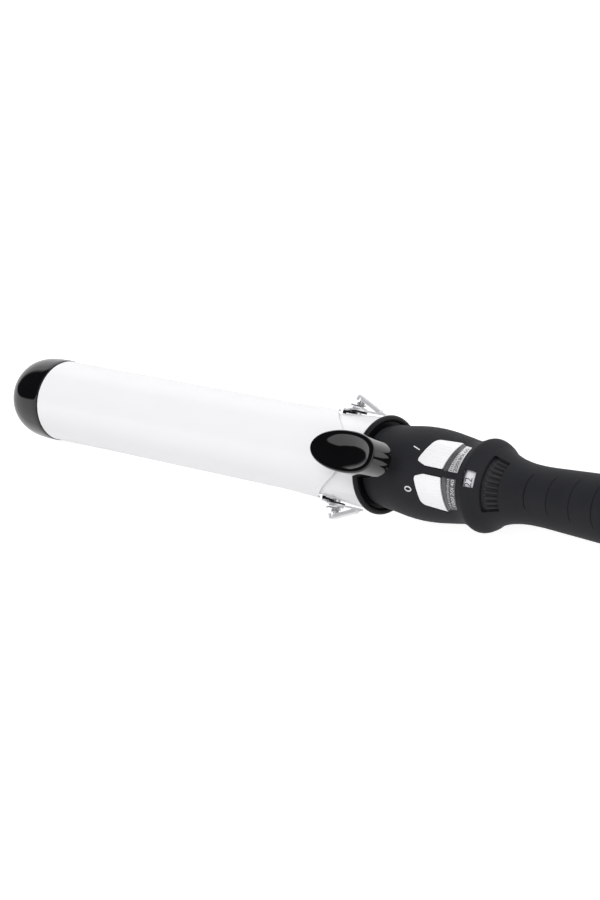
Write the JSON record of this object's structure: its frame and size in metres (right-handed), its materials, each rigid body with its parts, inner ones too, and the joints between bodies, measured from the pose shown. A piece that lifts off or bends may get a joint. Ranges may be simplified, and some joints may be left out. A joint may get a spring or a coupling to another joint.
{
  "type": "curling iron",
  "caption": "Spring-clamp curling iron: round heated barrel with a hinged clamp and thumb lever, contoured handle with two push buttons, thumbwheel dial and swivel cord end.",
  "frame": {"origin": "bottom centre of the bounding box: under the barrel axis, at the level of the finger collar's lowest point, halfway along the length", "axes": "+X along the barrel axis from the cool tip to the cord end, +Y towards the side of the I button, +Z from the barrel axis towards the clamp and thumb lever"},
  "size_m": [0.402, 0.0562, 0.0622],
  "materials": {
    "black_plastic": "moulded black plastic",
    "gloss_black": "polished black plastic",
    "soft_black": "black soft-touch coating",
    "white_ceramic": "glossy white ceramic coating on aluminium",
    "bare_aluminium": "extruded aluminium",
    "heater_ceramic": "alumina in polyimide wrap",
    "glass_bead": "glass bead",
    "bright_steel": "zinc-plated steel",
    "chromed_steel": "polished chrome on pressed steel",
    "spring_steel": "drawn wire",
    "lead_sleeve": "white glass-fibre sleeve",
    "brown_lead": "silicone insulation",
    "grey_insulator": "glass-filled nylon",
    "board_green": "solder-masked glass-epoxy board",
    "amber_plastic": "dipped film capacitor",
    "red_lens": "tinted epoxy",
    "satin_silver": "brushed silver finish",
    "smoke_lens": "smoked clear plastic",
    "clear_lens": "clear plastic window",
    "brass": "sprung brass",
    "resistor_brown": "carbon track on laminate"
  },
  "bodies": {
    "handle": {"tip_cap": "black_plastic", "barrel_tube": "white_ceramic", "heat_spreader_upper": "bare_aluminium", "heat_spreader_lower": "bare_aluminium", "ceramic_heater": "heater_ceramic", "thermistor": "glass_bead", "thermal_fuse": "bright_steel", "heater_leads": "lead_sleeve", "base_insulator": "grey_insulator", "barrel_screws": "bright_steel", "collar": "black_plastic", "hinge_saddle": "white_ceramic", "pivot_rivet_left": "chromed_steel", "pivot_rivet_right": "chromed_steel", "hinge_spring_left": "spring_steel", "hinge_spring_right": "spring_steel", "handle_shell_upper": "soft_black", "handle_shell_lower": "soft_black", "handle_screws": "bright_steel", "on_button_spring": "spring_steel", "off_button_spring": "spring_steel", "on_switch": "grey_insulator", "off_switch": "grey_insulator", "control_board": "board_green", "triac": "black_plastic", "capacitor": "amber_plastic", "indicator_leds": "red_lens", "scale_strip": "satin_silver", "scale_lens": "smoke_lens", "number_lens": "clear_lens", "rheostat_ring": "resistor_brown", "wheel_sleeve": "grey_insulator", "mains_leads": "brown_lead", "brush_holder": "grey_insulator", "brush_contacts": "brass"},
    "clamp": {"clamp_plate": "white_ceramic", "hinge_wing_left": "chromed_steel", "hinge_wing_right": "chromed_steel", "thumb_lever": "gloss_black", "lever_screws": "bright_steel"},
    "on_button": {"on_button": "satin_silver"},
    "off_button": {"off_button": "satin_silver"},
    "dial": {"thumbwheel": "black_plastic", "number_drum": "satin_silver", "wiper_contact": "brass"},
    "cord_end": {"cord_swivel": "black_plastic", "contact_rings": "brass"}
  },
  "joints": [
    {"name": "clamp_hinge", "type": "hinge", "parent": "handle", "child": "clamp", "pos_m": [0.01, 0, 0.0218], "axis": [0, 1, 0], "range_deg": [0, 8], "stiffness_Nm_per_rad": 0.8, "springref_deg": -20.05},
    {"name": "on_button_press", "type": "slide", "parent": "handle", "child": "on_button", "axis": [0, 0, -1], "range_m": [0, 0.0008], "stiffness_N_per_m": 1500, "springref_m": -0.0008, "deforming": ["on_button_spring"]},
    {"name": "off_button_press", "type": "slide", "parent": "handle", "child": "off_button", "axis": [0, 0, -1], "range_m": [0, 0.0008], "stiffness_N_per_m": 1500, "springref_m": -0.0008, "deforming": ["off_button_spring"]},
    {"name": "dial_turn", "type": "hinge", "parent": "handle", "child": "dial", "pos_m": [0.095, 0, 0.0218], "axis": [1, 0, 0], "range_deg": [-135, 135]},
    {"name": "cord_swivel_turn", "type": "hinge", "parent": "handle", "child": "cord_end", "pos_m": [0.192, 0, 0.0218], "axis": [1, 0, 0], "continuous": true}
  ]
}
